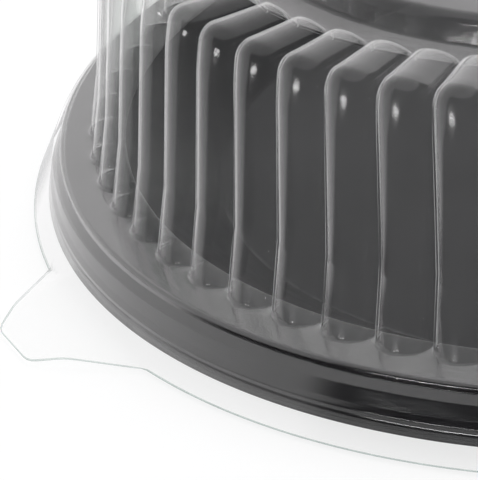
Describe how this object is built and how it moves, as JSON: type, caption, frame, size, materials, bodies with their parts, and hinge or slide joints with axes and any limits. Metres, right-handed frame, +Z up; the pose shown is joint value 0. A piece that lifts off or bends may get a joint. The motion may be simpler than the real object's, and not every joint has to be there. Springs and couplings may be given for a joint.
{
  "type": "cake carrier",
  "caption": "Round food carrier: shallow black tray with a stepped rim under a clear fluted dome lid with a finger tab and stacking plateau.",
  "frame": {"origin": "middle of the tray's flat underside, on the table", "axes": "+Z up along the tray's axis, -Y towards the lid's tab, +X to the right of the tab seen from outside"},
  "size_m": [0.2918, 0.3094, 0.0752],
  "materials": {
    "black_sheet": "gloss",
    "clear_sheet": "clear gloss"
  },
  "bodies": {
    "tray": {"base_tray": "black_sheet"},
    "lid": {"dome_lid": "clear_sheet"}
  },
  "joints": [
    {"name": "lid_lift", "type": "slide", "parent": "tray", "child": "lid", "axis": [0, 0, 1], "range_m": [0, 0.12]}
  ]
}
